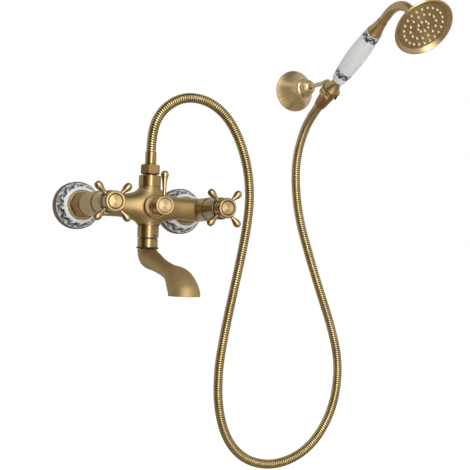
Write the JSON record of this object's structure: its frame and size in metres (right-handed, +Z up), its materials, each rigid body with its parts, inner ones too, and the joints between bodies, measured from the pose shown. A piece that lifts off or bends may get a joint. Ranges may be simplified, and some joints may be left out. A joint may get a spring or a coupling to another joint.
{
  "type": "wall-mounted bath and shower mixer",
  "caption": "Wall-mounted bath mixer in aged brass with cross handles, swivel spout, diverter, metal hose and porcelain-handled hand shower in a wall holder.",
  "frame": {"origin": "on the wall plane, midway between the two inlets", "axes": "+X to the right along the wall, +Y into the wall, +Z up"},
  "size_m": [0.4396, 0.3714, 0.6318],
  "materials": {
    "aged_brass": "brushed, aged and lacquered",
    "hose_brass": "aged, ribbed",
    "porcelain": "glazed porcelain",
    "seal_rubber": "matt",
    "valve_ceramic": "lapped ceramic",
    "screw_steel": "plain",
    "aerator_plastic": "moulded",
    "nozzle_rubber": "silicone"
  },
  "bodies": {
    "mixer": {"left_inlet_union": "aged_brass", "right_inlet_union": "aged_brass", "left_rosette_base": "aged_brass", "right_rosette_base": "aged_brass", "left_porcelain_rosette": "porcelain", "right_porcelain_rosette": "porcelain", "rosette_lock_rings": "aged_brass", "union_nuts": "aged_brass", "union_washers": "seal_rubber", "inlet_tails": "aged_brass", "mixer_body": "aged_brass", "valve_seals": "seal_rubber", "fixed_ceramic_discs": "valve_ceramic", "left_valve_headwork": "aged_brass", "right_valve_headwork": "aged_brass", "left_valve_shroud": "aged_brass", "right_valve_shroud": "aged_brass", "diverter_bonnet": "aged_brass", "shower_outlet_collar": "aged_brass", "hose_nut": "aged_brass", "hose_washer": "seal_rubber", "hose_ferrule": "aged_brass", "shower_hose": "hose_brass", "spout_collar": "aged_brass", "spout_ring_nut": "aged_brass", "spout_wear_ring": "seal_rubber", "holder_wall_plate": "aged_brass", "holder_screws": "screw_steel", "holder_flange": "aged_brass", "holder_neck": "aged_brass", "holder_rod": "aged_brass", "handset_cradle": "aged_brass"},
    "left_handle": {"left_handle_hub": "aged_brass", "left_handle_arms": "aged_brass", "left_handle_cap": "aged_brass", "left_handle_screw": "screw_steel", "left_valve_spindle": "aged_brass", "left_moving_disc": "valve_ceramic"},
    "right_handle": {"right_handle_hub": "aged_brass", "right_handle_arms": "aged_brass", "right_handle_cap": "aged_brass", "right_handle_screw": "screw_steel", "right_valve_spindle": "aged_brass", "right_moving_disc": "valve_ceramic"},
    "diverter": {"diverter_knob": "aged_brass", "diverter_lever": "aged_brass", "diverter_spindle": "aged_brass"},
    "spout": {"spout": "aged_brass", "spout_o_rings": "seal_rubber", "spout_retaining_clip": "screw_steel", "aerator": "aerator_plastic"},
    "hose_end": {"handset_hose_nut": "aged_brass"},
    "handset": {"handset_lower_ferrule": "aged_brass", "porcelain_grip": "porcelain", "handset_upper_ferrule": "aged_brass", "handset_neck": "aged_brass", "head_collar_nut": "aged_brass", "shower_head_shell": "aged_brass", "shower_face_plate": "aged_brass", "shower_nozzles": "nozzle_rubber"}
  },
  "joints": [
    {"name": "left_handle_turn", "type": "hinge", "parent": "mixer", "child": "left_handle", "pos_m": [-0.075, -0.152, 0], "axis": [0, -1, 0], "range_deg": [0, 90]},
    {"name": "right_handle_turn", "type": "hinge", "parent": "mixer", "child": "right_handle", "pos_m": [0.075, -0.152, 0], "axis": [0, 1, 0], "range_deg": [0, 90]},
    {"name": "diverter_turn", "type": "hinge", "parent": "mixer", "child": "diverter", "pos_m": [0, -0.13, 0], "axis": [0, 1, 0], "range_deg": [0, 90]},
    {"name": "spout_swivel", "type": "hinge", "parent": "mixer", "child": "spout", "pos_m": [0, -0.08, -0.05], "axis": [0, 0, 1], "range_deg": [-75, 75]},
    {"name": "handset_lift", "type": "slide", "parent": "mixer", "child": "hose_end", "axis": [0, -0.8563, 0.5165], "range_m": [0, 0.06]},
    {"name": "handset_turn", "type": "hinge", "parent": "hose_end", "child": "handset", "pos_m": [0.258, -0.10691, 0.17986], "axis": [0, -0.8563, 0.5165], "continuous": true}
  ]
}
